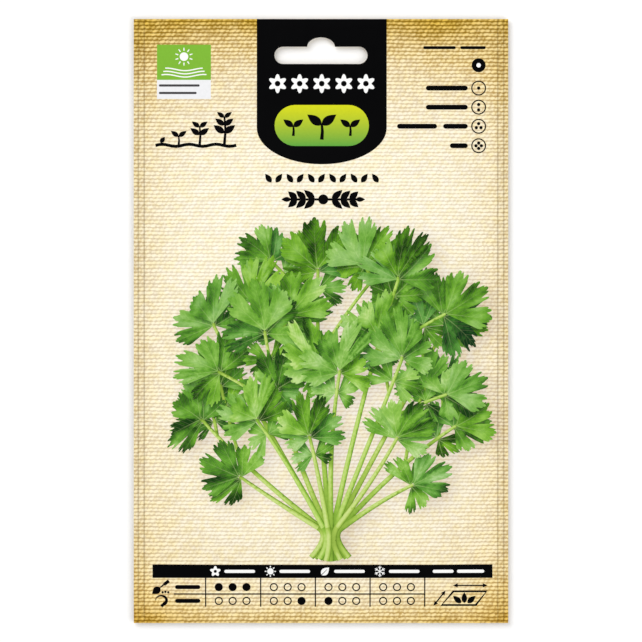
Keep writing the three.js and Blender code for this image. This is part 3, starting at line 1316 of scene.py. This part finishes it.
def sheet_map(mesh, printed, inner):
    """A map for the sheet as seen from above: the printed side large, the inner side and rim beside it."""
    corners = np.empty(len(mesh.loops), np.int32)
    mesh.loops.foreach_get("vertex_index", corners)
    points = np.empty(len(mesh.vertices) * 3, np.float32)
    mesh.vertices.foreach_get("co", points)
    share = (points.reshape(-1, 3)[corners, :2] / MM + (SIDE, TOP)) / HEIGHT
    uv = share * (1 - 2 * MAP_MARGIN) + MAP_MARGIN
    start = printed * 3
    end = start + inner * 3
    uv[start:end] = share[start:end] * INNER_MAP[1] + (INNER_MAP[0], MAP_MARGIN)
    row, column = np.divmod(np.arange((len(mesh.loops) - end) // 4), WALL_COLUMNS)
    for corner, (du, dv) in enumerate(((0, 0), (1, 0), (1, 1), (0, 1))):
        uv[end + corner::4, 0] = INNER_MAP[0] + (column + du * WALL_FILL) * WALL_CELL
        uv[end + corner::4, 1] = WALL_MAP_Y + (row + dv * WALL_FILL) * WALL_CELL
    return uv.astype(np.float32)


def finish_sheet(mesh):
    """Smooth sides that meet the cut rim in a sharp edge."""
    mesh.update(calc_edges=True)
    mesh.shade_smooth()
    sharp = {key for face in mesh.polygons if len(face.vertices) == 4 for key in face.edge_keys}
    marks = [tuple(sorted(edge.vertices)) in sharp for edge in mesh.edges]
    mesh.attributes.new("sharp_edge", "BOOLEAN", "EDGE").data.foreach_set("value", marks)
    mesh.validate()


# Materials
def arithmetic(operation):
    return lambda value, *others: value.tree.math(operation, value, *others)


class Value:
    """An output of a material's nodes. Arithmetic with it adds the nodes that work it out."""

    __add__ = arithmetic("ADD")
    __sub__ = arithmetic("SUBTRACT")
    __mul__ = arithmetic("MULTIPLY")
    __truediv__ = arithmetic("DIVIDE")
    __pow__ = arithmetic("POWER")
    __abs__ = arithmetic("ABSOLUTE")

    def __init__(self, tree, socket):
        self.tree = tree
        self.socket = socket

    def __rsub__(self, number):
        return self.tree.math("SUBTRACT", number, self)


class Tree:
    """Short words for building one material's nodes."""

    def __init__(self, name):
        self.material = bpy.data.materials.new(name)
        self.material.use_nodes = True
        self.nodes = self.material.node_tree.nodes
        self.links = self.material.node_tree.links
        self.shader = self.nodes["Principled BSDF"].inputs

    def node(self, kind, **settings):
        made = self.nodes.new(kind)
        for key, value in settings.items():
            setattr(made, key, value)
        return made

    def put(self, value, socket):
        if isinstance(value, Value):
            self.links.new(value.socket, socket)
        else:
            socket.default_value = value

    def made(self, kind, inputs, **settings):
        """A new node's first output, with those values in its inputs."""
        made = self.node(kind, **settings)
        for key, value in inputs.items():
            self.put(value, made.inputs[key])
        return Value(self, made.outputs[0])

    def math(self, operation, *values, clamp=False):
        return self.made("ShaderNodeMath", dict(enumerate(values)), operation=operation, use_clamp=clamp)

    def clamped(self, value):
        return self.math("ADD", value, 0.0, clamp=True)

    def steps(self, value, low, high):
        """0 up to low, 1 from high on, and smooth in between."""
        inputs = {"Value": value, "From Min": low, "From Max": high}
        return self.made("ShaderNodeMapRange", inputs, interpolation_type="SMOOTHSTEP")

    def noise(self, scale, low=0.0, high=1.0, detail=2.0, roughness=0.5):
        """Cloudy noise between two values, with that many patches to a millimetre."""
        inputs = {"Vector": self.point, "Scale": scale, "Detail": detail, "Roughness": roughness}
        return self.made("ShaderNodeTexNoise", inputs) * (high - low) + low

    def mix(self, share, first, second, blend="MIX"):
        made = self.node("ShaderNodeMix", data_type="RGBA", blend_type=blend)
        self.put(share, made.inputs["Factor"])
        colours = [socket for socket in made.inputs if socket.type == "RGBA"]
        for value, socket in zip((first, second), colours):
            self.put(value if isinstance(value, Value) else (*value, 1), socket)
        return Value(self, next(socket for socket in made.outputs if socket.type == "RGBA"))

    def ramp(self, share, *stops):
        made = self.node("ShaderNodeValToRGB")
        self.put(share, made.inputs[0])
        elements = made.color_ramp.elements
        while len(elements) < len(stops):
            elements.new(0.5)
        for element, (position, colour) in zip(elements, stops):
            element.position = position
            element.color = (*srgb(*colour), 1)
        return Value(self, made.outputs[0])

    def parts(self, kind, value):
        """The three numbers of a vector or a colour."""
        made = self.node(kind)
        self.put(value, made.inputs[0])
        return [Value(self, output) for output in list(made.outputs)[:3]]

    @cached_property
    def point(self):
        """The point in millimetres."""
        coordinates = Value(self, self.node("ShaderNodeTexCoord").outputs["Object"])
        return self.made("ShaderNodeVectorMath", {0: coordinates, "Scale": 1 / MM}, operation="SCALE")

    def carried(self):
        """The colour that each corner carries, and its three numbers."""
        settings = {"attribute_type": "GEOMETRY", "attribute_name": "print"}
        colour = self.made("ShaderNodeAttribute", {}, **settings)
        return colour, *self.parts("ShaderNodeSeparateColor", colour)

    def bump(self, height, strength, distance):
        made = self.made("ShaderNodeBump", {"Height": height, "Strength": strength, "Distance": distance})
        self.put(made, self.shader["Normal"])

    def finished(self, colour, roughness, specular=0.5):
        """The material, with that surface."""
        self.put(colour, self.shader["Base Color"])
        self.put(roughness, self.shader["Roughness"])
        self.put(specular, self.shader["Specular IOR Level"])
        return self.material


# Noise: patches to a millimetre, lowest and highest value, detail, roughness
SHEEN = (0.12, -0.07, 0.07, 3.0)
COCKLE = (0.09,)
TOOTH = (6.0, 0.0, 0.006)
GLOW_PATCHES = (0.07, 0.6, 1.4, 3.0)
SWAY = (0.1, -0.5, 0.5)
JITTER = (0.8, -0.5, 0.5)
FIBRES = (2.1, -0.65, 0.65, 3.0, 0.75)
STAINS = (0.5, 0.0, 1.0, 5.0, 0.65)
INK_MOTTLE = (1.6, 0.91, 1.03, 3.0)
LEAF_SPECKLE = (0.55, -0.25, 0.25, 3.0)
LEAF_CELLS = (3.2, -0.11, 0.11, 3.0)
STEM_STREAKS = (1.3, -0.1, 0.1)
PAPER_FIBRES = (3.0, 0.0, 1.0, 4.0, 0.65)
HUSK_PATCHES = (0.25,)
HUSK_GRAIN = (2.6, 0.0, 1.0, 4.0, 0.6)

# Coated paper
PAPER_SPECULAR = 0.03
PAPER_BUMP = 0.35
BARE_ROUGHNESS = 0.75
GROUND_ROUGHNESS = 0.5
INK_ROUGHNESS = 0.46
HERB_ROUGHNESS = 0.48


def coated_paper(tree, colour, roughness):
    """Satin coated paper under the ink: faint cockling, fine tooth and a slightly uneven sheen."""
    tree.bump(tree.noise(*COCKLE) + tree.noise(*TOOTH), PAPER_BUMP, MM)
    return tree.finished(colour, tree.noise(*SHEEN) + roughness, PAPER_SPECULAR)


# How golden the ground is at each edge, and over how many millimetres that falls off
TOP_GLOW = (0.97, 14.0)
SIDE_GLOW = (0.36, 8.5)
FOOT_GLOW = (0.38, 17.0)
FOOT_EDGE_GLOW = (0.5, 3.0)
TOP_CORNER_GLOW = (0.36, 12.0)
FOOT_CORNER_GLOW = (0.36, 11.0)
WARM_CORNER = (1.0, 14.0)
WARM_TINT = (1.0, 0.9, 0.6)


def fade(tree, distance, share, reach):
    """The share at no distance, and about a third of it one reach further on."""
    return tree.math("POWER", math.e, distance / -reach) * share


def edge_glow(tree, top, foot, side):
    """How golden the ground is: strongest at the top edge, then the foot, the corners and the sides."""
    glows = (
        (top, TOP_GLOW), (side, SIDE_GLOW), (foot, FOOT_GLOW), (foot, FOOT_EDGE_GLOW),
        (top + side, TOP_CORNER_GLOW), (foot + side, FOOT_CORNER_GLOW),
    )
    bare = 1.0
    for distance, glow in glows:
        bare = (1.0 - fade(tree, distance, *glow)) * bare
    return tree.clamped((1.0 - bare) * tree.noise(*GLOW_PATCHES))


# Printed cloth: ribs that run across, each made of slanted stitches
RIB_PITCH = 1.0
RIB_SWAY = 0.5
RIB_JITTER = 0.26
RIB_ROUNDING = 1.9
GAP_DEPTH = 1.52
GAP_FILLING = 0.7  # how much of the gap between two ribs a stitch's crest fills
STITCH_PITCH = 1.39
STITCH_SWAY = 2.0
STITCH_JITTER = 1.1
STITCH_SLANT = 0.4
STITCH_SHIFT = 0.53  # from rib to rib, as a share of the pitch
STITCH_ODDS = 0.35  # at most added to that shift
STITCH_LEVEL = 0.82
STITCH_SWELL = 0.16
STITCH_RANGE = 0.45  # between the lowest stitch and the highest
GLOW_SINK = 0.22  # how much lower the threads are where the ground is golden
SHADE_TO_LIGHT = (0.02, 0.92)
STAIN_EDGE = (0.38, 0.66)
STAIN_SHARE = 0.7
STAIN_TINT = (1.0, 0.955, 0.74)


def burlap(tree, x, y, glow):
    """The printed jute cloth: rope-like ribs of slanted stitches, uneven all over."""
    sway = tree.noise(*SWAY)
    jitter = tree.noise(*JITTER)
    rib = (y + jitter * RIB_JITTER + sway * RIB_SWAY) / RIB_PITCH
    number = tree.math("FLOOR", rib)
    in_rib = rib - number
    rib_odds = tree.made("ShaderNodeTexWhiteNoise", {"W": number}, noise_dimensions="1D")
    stitch = (x + jitter * STITCH_JITTER - sway * STITCH_SWAY) / STITCH_PITCH
    stitch = stitch + rib_odds * STITCH_ODDS + number * STITCH_SHIFT - in_rib * STITCH_SLANT
    cell = tree.made("ShaderNodeCombineXYZ", {0: tree.math("ROUND", stitch), 1: number})
    stitch_odds = tree.made("ShaderNodeTexWhiteNoise", {"Vector": cell}, noise_dimensions="2D")
    crest = tree.math("COSINE", stitch * (2 * math.pi)) * STITCH_SWELL + STITCH_LEVEL
    rope = 1.0 - abs(in_rib * 2.0 - 1.0) ** RIB_ROUNDING * (GAP_DEPTH - crest * GAP_FILLING)
    height = rope * crest * (stitch_odds * STITCH_RANGE + STITCH_LEVEL) + tree.noise(*FIBRES)
    light = tree.ramp(glow, (0.0, (254, 250, 235)), (0.5, (250, 233, 184)), (1.0, (234, 197, 88)))
    shade = tree.ramp(
        glow, (0.0, (229, 217, 195)), (0.5, (184, 151, 90)), (0.8, (150, 115, 32)), (1.0, (138, 104, 14)),
    )
    cloth = tree.mix(tree.steps(height - glow * GLOW_SINK, *SHADE_TO_LIGHT), shade, light)
    stains = tree.steps(tree.noise(*STAINS), *STAIN_EDGE) * STAIN_SHARE
    return tree.mix(stains, cloth, STAIN_TINT, "MULTIPLY")


SEAL_DARK = 0.05
SEAL_LINE_DARK = 0.36
SEAL_LINE_EDGE = (0.05, 0.34)  # from a pressed line's middle, where its shade starts and ends to fade
SEAL_EDGE = (SEAL_LINES[1] - 0.1, SEAL_LINES[1] + 0.35)
SEAL_BROWN = srgb(96, 70, 30)
GROUND_SHADE = 0.42
GROUND_SHADE_TINT = srgb(138, 112, 112)


def side_seal(tree, side, colour):
    """The pressed side lines, a little darker, and the seal outside them, a shade darker."""
    dark = (1.0 - tree.steps(side, *SEAL_EDGE)) * SEAL_DARK
    for line in SEAL_LINES:
        dark = dark + (1.0 - tree.steps(abs(side - line), *SEAL_LINE_EDGE)) * SEAL_LINE_DARK
    return tree.mix(dark, colour, SEAL_BROWN)


def ground_material():
    """The printed cloth, golden towards the edges, with the bunch's shadow on it."""
    tree = Tree("burlap_print")
    x, y, _ = tree.parts("ShaderNodeSeparateXYZ", tree.point)
    foot, side = y + TOP, SIDE - abs(x)
    cloth = burlap(tree, x, y, edge_glow(tree, TOP - y, foot, side))
    colour = tree.mix(fade(tree, foot + side, *WARM_CORNER), cloth, WARM_TINT, "MULTIPLY")
    shadow = tree.carried()[1] * GROUND_SHADE
    colour = tree.mix(shadow, side_seal(tree, side, colour), GROUND_SHADE_TINT)
    return coated_paper(tree, colour, GROUND_ROUGHNESS)


def solid_material():
    """Flat ink, with the faint mottling of print on paper."""
    tree = Tree("solid_print")
    grey = tree.made("ShaderNodeCombineColor", dict.fromkeys(range(3), tree.noise(*INK_MOTTLE)))
    return coated_paper(tree, tree.mix(1.0, tree.carried()[0], grey, "MULTIPLY"), INK_ROUGHNESS)


# Veins of a leaflet, in millimetres
VEIN_WIDTH = 0.17
VEIN_TAPER = 0.008  # what the width loses for each millimetre from the base
VEIN_FADE = 0.07  # what its strength loses there
VEIN_CORE = 0.4  # the share of the width that has the full strength
SIDE_VEIN_PITCH = 1.75
SIDE_VEIN_LEAN = 1.5
SIDE_VEIN_EDGE = (0.03, 0.12)  # as shares of the pitch


def leaf_veins(tree):
    """The main veins and side veins, and how far between two side veins a point lies."""
    uv = Value(tree, tree.node("ShaderNodeUVMap", uv_map="place").outputs[0])
    across, along, _ = tree.parts("ShaderNodeSeparateXYZ", uv)
    across, along = across * PLACE_SCALE, along * PLACE_SCALE
    reach = (across * across + along * along) ** 0.5
    angle = tree.math("ARCTAN2", across, along)
    lobe = tree.math("MAXIMUM", tree.math("ROUND", angle / LOBE_STEP), -1.0)
    turn = angle - tree.math("MINIMUM", lobe, 1.0) * LOBE_STEP
    off_vein = abs(reach * tree.math("SINE", turn))
    up_vein = reach * tree.math("COSINE", turn)
    width = reach * -VEIN_TAPER + VEIN_WIDTH
    main = (1.0 - tree.steps(off_vein, width * VEIN_CORE, width)) * tree.clamped(reach * -VEIN_FADE + 1.0)
    between = abs(tree.math("FRACT", (up_vein - off_vein * SIDE_VEIN_LEAN) / SIDE_VEIN_PITCH) - 0.5)
    return main, 1.0 - tree.steps(between, *SIDE_VEIN_EDGE), between


LEAF_RIDGES = 0.22  # how much lighter the leaf is between its side veins
VEIN_SHOW = 0.55
SIDE_VEIN_SHOW = 0.16
VEIN_TINT = srgb(206, 226, 150)
GLINT_SHOW = 0.14
GLINT_TINT = srgb(206, 228, 190)


def leaf_material():
    """Leaf green lit by what each corner carries, with veins drawn from the leaf's own coordinates."""
    tree = Tree("leaf_print")
    _, lit, tone, glint = tree.carried()
    main, side, between = leaf_veins(tree)
    ridges = (between - 0.25) * LEAF_RIDGES
    share = tree.clamped(lit + ridges + tree.noise(*LEAF_SPECKLE) + tree.noise(*LEAF_CELLS))
    yellow = tree.ramp(
        share, (0.0, (26, 62, 8)), (0.25, (74, 126, 22)), (0.5, (112, 168, 36)),
        (0.78, (150, 198, 70)), (1.0, (196, 222, 124)),
    )
    blue = tree.ramp(
        share, (0.0, (16, 52, 22)), (0.25, (54, 108, 38)), (0.5, (86, 148, 56)),
        (0.78, (128, 178, 94)), (1.0, (176, 208, 150)),
    )
    colour = tree.mix(tone, yellow, blue)
    veins = tree.clamped(main * VEIN_SHOW + side * SIDE_VEIN_SHOW)
    colour = tree.mix(veins, colour, tree.mix(0.5, colour, VEIN_TINT))
    return coated_paper(tree, tree.mix(glint * GLINT_SHOW, colour, GLINT_TINT), HERB_ROUGHNESS)


def stem_material():
    """Stem green, lit along one side by what each corner carries."""
    tree = Tree("stem_print")
    _, lit, tone, _ = tree.carried()
    share = tree.clamped(lit + tree.noise(*STEM_STREAKS))
    green = tree.ramp(
        share, (0.0, (44, 84, 16)), (0.45, (100, 154, 38)), (0.8, (142, 190, 64)), (1.0, (184, 214, 108)),
    )
    pale = tree.ramp(
        share, (0.0, (70, 90, 26)), (0.45, (134, 164, 58)), (0.8, (174, 198, 92)), (1.0, (208, 222, 144)),
    )
    return coated_paper(tree, tree.mix(tone, green, pale), HERB_ROUGHNESS)


def bare_paper_material():
    """Unprinted paper, on the cut rim and inside."""
    tree = Tree("bare_paper")
    colour = tree.ramp(tree.noise(*PAPER_FIBRES), (0.3, (226, 220, 206)), (0.7, (246, 243, 235)))
    return coated_paper(tree, colour, BARE_ROUGHNESS)


HUSK_PATCH_SHARE = 0.6
HUSK_ROUGHNESS = 0.6
HUSK_ROUGHNESS_RANGE = 0.25
HUSK_BUMP = 0.6
HUSK_BUMP_HEIGHT = 0.1


def seed_material():
    """Dry ribbed husks, each seed a little lighter or darker."""
    tree = Tree("seed_husk")
    grain = tree.noise(*HUSK_GRAIN)
    share = tree.noise(*HUSK_PATCHES) * HUSK_PATCH_SHARE + grain * (1 - HUSK_PATCH_SHARE)
    colour = tree.ramp(share, (0.3, (104, 74, 38)), (0.5, (166, 126, 72)), (0.7, (206, 172, 112)))
    tree.bump(grain, HUSK_BUMP, HUSK_BUMP_HEIGHT * MM)
    return tree.finished(colour, grain * HUSK_ROUGHNESS_RANGE + HUSK_ROUGHNESS)


MATERIALS = {
    "ground": ground_material(),
    "solid": solid_material(),
    "leaf": leaf_material(),
    "stem": stem_material(),
    "paper": bare_paper_material(),
}


# Pieces
def make_front():
    herb, ground_shade, shadow = herb_shapes()
    fine = grid_points(LEAF_STEP, shake=0.25, seed=5)
    fine = fine[shadow.read(shadow.above, fine) > 0.5]
    ground = grid_points(GROUND_STEP, shake=0.25, seed=1)
    loose = np.vstack((ground, fine, seal_line_points()))
    shapes = herb + front_signs()
    panel = make_panel("front_paper", shapes, loose, front_upper, front_lower, True, ground_shade)
    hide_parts("front_panel")
    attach(panel, "root")


def make_back():
    loose = np.vstack((grid_points(BACK_STEP, shake=0.2, seed=2), seal_line_points()))
    panel = make_panel("back_paper", back_shapes(), loose, back_lower, back_upper, False)
    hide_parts("back_panel")
    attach(panel, "root")


def seed_points(size):
    """One seed's points, ring by ring from pole to pole, with its middle at the origin."""
    pole = SEED_HALF_HEIGHT * size * (1 + SEED_TIP)
    points = [Vector((0, 0, pole))]
    for number in range(1, SEED_RINGS):
        polar = math.pi * number / SEED_RINGS
        tip = 1 + SEED_TIP * math.cos(polar) ** SEED_TIP_POWER
        height = SEED_HALF_HEIGHT * size * math.cos(polar) * tip
        for side in range(SEED_SIDES):
            around = 2 * math.pi * side / SEED_SIDES
            reach = SEED_RADIUS * size * math.sin(polar) * (1 - RIB_DEPTH * (side % 2))
            points.append(Vector((reach * math.cos(around), reach * math.sin(around), height)))
    return points + [Vector((0, 0, -pole))]


def seed_faces(first):
    """One seed's faces, with its points numbered from first."""
    last = first + 1 + (SEED_RINGS - 1) * SEED_SIDES
    faces = []
    for side in range(SEED_SIDES):
        ahead = (side + 1) % SEED_SIDES
        faces.append((first, first + 1 + side, first + 1 + ahead))
        faces.append((last, last - SEED_SIDES + ahead, last - SEED_SIDES + side))
        for number in range(SEED_RINGS - 2):
            ring_start = first + 1 + number * SEED_SIDES
            a, b = ring_start + side, ring_start + ahead
            faces.append((a, a + SEED_SIDES, b + SEED_SIDES, b))
    return faces


def make_seeds():
    """Round ribbed seeds in one layer, each lying its own way."""
    chance = random.Random(31)
    points, faces = [], []
    for x, y in SEED_PLACES:
        turn = Vector([chance.gauss(0, 1) for _ in range(3)]).to_track_quat("Z", "Y")
        middle = Vector((x, y, PAPER + BED_CLEARANCE + SEED_RADIUS))
        faces += seed_faces(len(points))
        size = chance.uniform(*SEED_SIZE)
        points += [(middle + turn @ point) * MM for point in seed_points(size)]
    mesh = bpy.data.meshes.new("seeds")
    mesh.from_pydata(points, [], faces)
    mesh.shade_smooth()
    mesh.materials.append(seed_material())
    seeds = add_object("seeds", mesh)
    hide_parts("coriander_seeds")
    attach(seeds, "root")


# Studio: places and sizes in metres, lens and sensor in millimetres
PHOTO_SIZE = 642
PACKET_PIXELS = 374.2  # the packet's width in the photograph
LENS = 200.0
SENSOR = 36.0
FLOOR_HALF = 4.0
FLOOR_WHITE = (0.99, 0.99, 0.99, 1)
FLOOR_ROUGHNESS = 0.8
FLOOR_SPECULAR = 0.1
LIGHT_SIZE = 0.9
LIGHTS = (("key", (-0.5, 0.55, 1.05), 7.1), ("fill", (0.65, -0.4, 1.05), 4.9))  # name, place, power
SKY_STRENGTH = 0.55


def make_floor():
    mesh = bpy.data.meshes.new("floor")
    corners = rectangle(-FLOOR_HALF, -FLOOR_HALF, FLOOR_HALF, FLOOR_HALF)
    mesh.from_pydata([(x, y, 0) for x, y in corners], [], [(0, 1, 2, 3)])
    mesh.materials.append(Tree("floor").finished(FLOOR_WHITE, FLOOR_ROUGHNESS, FLOOR_SPECULAR))
    floor = add_object("floor", mesh)


def make_light(name, place, power):
    """A round lamp that faces the origin."""
    data = bpy.data.lights.new(name, "AREA")
    data.shape = "DISK"
    data.size = LIGHT_SIZE
    data.energy = power
    light = add_object(name, data)
    light.location = place
    light.rotation_mode = "QUATERNION"
    light.rotation_quaternion = Vector(place).to_track_quat("Z", "Y")


def make_studio():
    make_floor()
    for light in LIGHTS:
        make_light(*light)
    world = bpy.data.worlds.new("studio")
    world.use_nodes = True
    background = world.node_tree.nodes["Background"]
    background.inputs["Color"].default_value = (1, 1, 1, 1)
    background.inputs["Strength"].default_value = SKY_STRENGTH
    bpy.context.scene.world = world
    bpy.context.scene.view_settings.view_transform = "Standard"


def make_camera():
    """Straight above the packet, its top edge up in the picture, as the photograph shows it."""
    data = bpy.data.cameras.new("camera")
    data.lens = LENS
    data.sensor_width = SENSOR
    view_width = WIDTH * MM * PHOTO_SIZE / PACKET_PIXELS
    camera = add_object("camera", data)
    camera.location = (0, 0, (RIM_LIFT + PAPER) * MM + view_width * LENS / SENSOR)
    bpy.context.scene.camera = camera


make_front()
make_back()
make_seeds()
make_studio()
make_camera()
